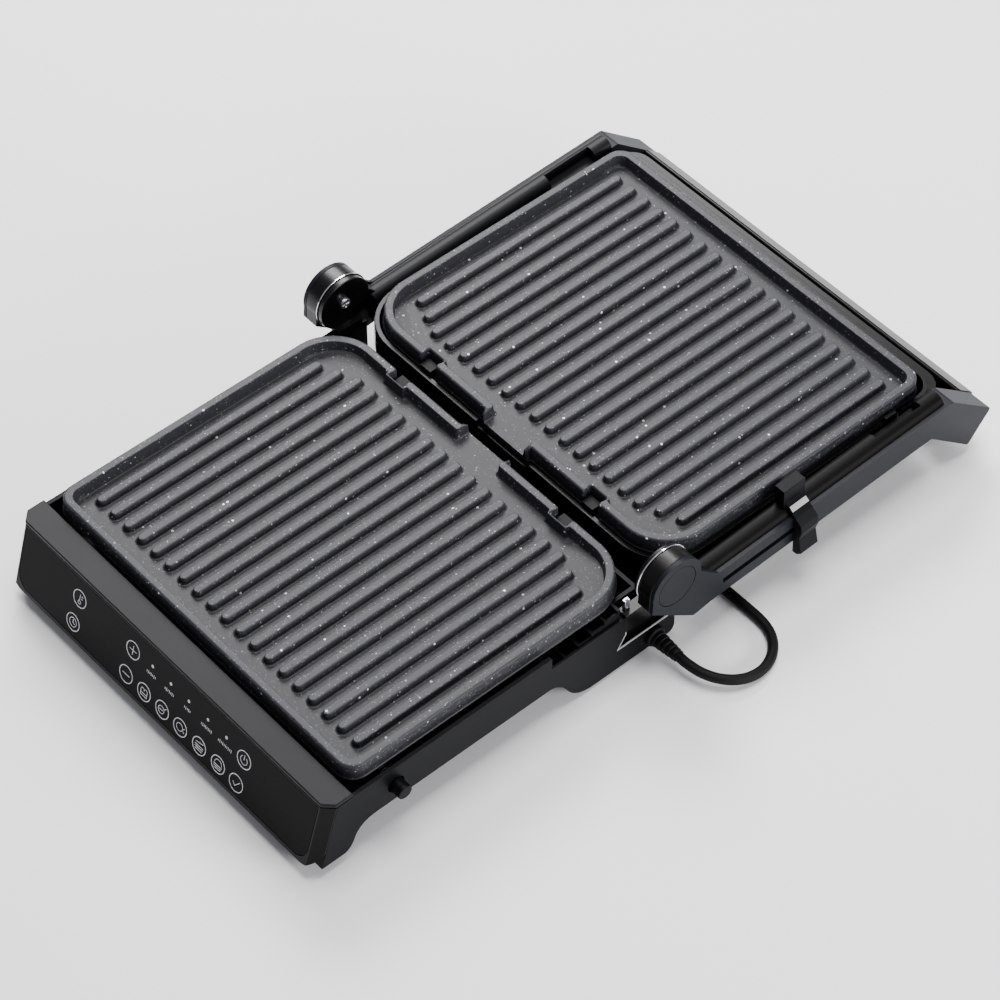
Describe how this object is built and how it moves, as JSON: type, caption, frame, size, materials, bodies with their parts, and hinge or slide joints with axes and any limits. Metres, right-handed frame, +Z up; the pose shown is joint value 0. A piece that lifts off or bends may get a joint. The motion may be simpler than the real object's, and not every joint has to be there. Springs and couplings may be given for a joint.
{
  "type": "panini press",
  "caption": "Contact grill lying open flat: ribbed non-stick plates in a base and a hinged, tilting lid, touch panel, height lock slider, drip tray and mains lead.",
  "frame": {"origin": "on the table, under the middle of the opened press without its mains lead", "axes": "+Z up, +Y from the control panel towards the opened lid, +X towards the side with the release button and the lead"},
  "size_m": [0.3844, 0.5591, 0.0944],
  "materials": {
    "stone_coating": "grey non-stick coating with light and dark flecks on die-cast aluminium",
    "gloss_black_plastic": "high gloss",
    "satin_black_plastic": "fine satin texture",
    "touch_panel": "glossy touch panel with pale printed rings",
    "grey_trim": "satin dark grey",
    "slate_plastic": "satin blue-grey",
    "chrome_ring": "polished",
    "bright_steel": "plain",
    "black_rubber": "matt",
    "circuit_board": "solder mask",
    "white_nylon": "plain",
    "white_mark": "printed line"
  },
  "bodies": {
    "base": {"base_shell": "satin_black_plastic", "bottom_cover": "satin_black_plastic", "front_bezel": "gloss_black_plastic", "control_panel": "touch_panel", "top_trim": "grey_trim", "height_rack": "satin_black_plastic", "control_board": "circuit_board", "power_board": "circuit_board", "terminal_block": "white_nylon", "foot_front_left": "black_rubber", "foot_front_right": "black_rubber", "foot_rear_left": "black_rubber", "foot_rear_right": "black_rubber", "hinge_knuckle_left": "satin_black_plastic", "hinge_knuckle_right": "satin_black_plastic", "hinge_ring_left": "chrome_ring", "hinge_ring_right": "chrome_ring", "hinge_pin_left": "bright_steel", "hinge_pin_right": "bright_steel", "hinge_screw_left": "bright_steel", "hinge_screw_right": "bright_steel", "lower_plate": "stone_coating", "lower_heater": "bright_steel", "lower_reflector": "bright_steel", "lower_thermostat": "bright_steel", "release_spring_lower": "bright_steel", "plate_clip_lower_left": "bright_steel", "plate_clip_lower_right": "bright_steel", "cord_gland": "black_rubber", "cord": "black_rubber", "cord_coil": "black_rubber", "cord_tie": "satin_black_plastic", "cord_tail": "black_rubber", "plug": "black_rubber"},
    "release_button": {"release_button_lower": "satin_black_plastic"},
    "drip_tray": {"drip_tray": "satin_black_plastic"},
    "arms": {"arm_left": "slate_plastic", "arm_right": "slate_plastic", "arm_inlay_left": "slate_plastic", "arm_inlay_right": "slate_plastic", "hinge_bush_left": "white_nylon", "hinge_bush_right": "white_nylon", "pivot_pin_left": "bright_steel", "pivot_pin_right": "bright_steel", "handle_bar": "gloss_black_plastic", "handle_foot_left": "black_rubber", "handle_foot_right": "black_rubber"},
    "height_slider": {"height_slider": "satin_black_plastic", "slider_mark": "white_mark"},
    "upper_housing": {"upper_shell": "gloss_black_plastic", "upper_frame": "gloss_black_plastic", "upper_plate": "stone_coating", "upper_heater": "bright_steel", "upper_reflector": "bright_steel", "upper_thermostat": "bright_steel", "release_spring_upper": "bright_steel", "plate_clip_upper_left": "bright_steel", "plate_clip_upper_right": "bright_steel"},
    "release_tab": {"release_tab_upper": "satin_black_plastic"}
  },
  "joints": [
    {"name": "arm_hinge", "type": "hinge", "parent": "base", "child": "arms", "pos_m": [0, -0.00275, 0.0735], "axis": [1, 0, 0], "range_deg": [0, 180]},
    {"name": "upper_tilt", "type": "hinge", "parent": "arms", "child": "upper_housing", "pos_m": [0, 0.12225, 0.049], "axis": [1, 0, 0], "range_deg": [-3, 3]},
    {"name": "height_slide", "type": "slide", "parent": "arms", "child": "height_slider", "axis": [0, 0.9992, 0.04], "range_m": [-0.058, 0]},
    {"name": "plate_release_lower", "type": "slide", "parent": "base", "child": "release_button", "axis": [-1, 0, 0], "range_m": [0, 0.006], "stiffness_N_per_m": 300, "deforming": ["release_spring_lower"]},
    {"name": "plate_release_upper", "type": "slide", "parent": "upper_housing", "child": "release_tab", "axis": [0, 1, 0], "range_m": [0, 0.005], "stiffness_N_per_m": 300, "deforming": ["release_spring_upper"]},
    {"name": "tray_slide", "type": "slide", "parent": "base", "child": "drip_tray", "axis": [0, 1, 0], "range_m": [0, 0.062]}
  ]
}
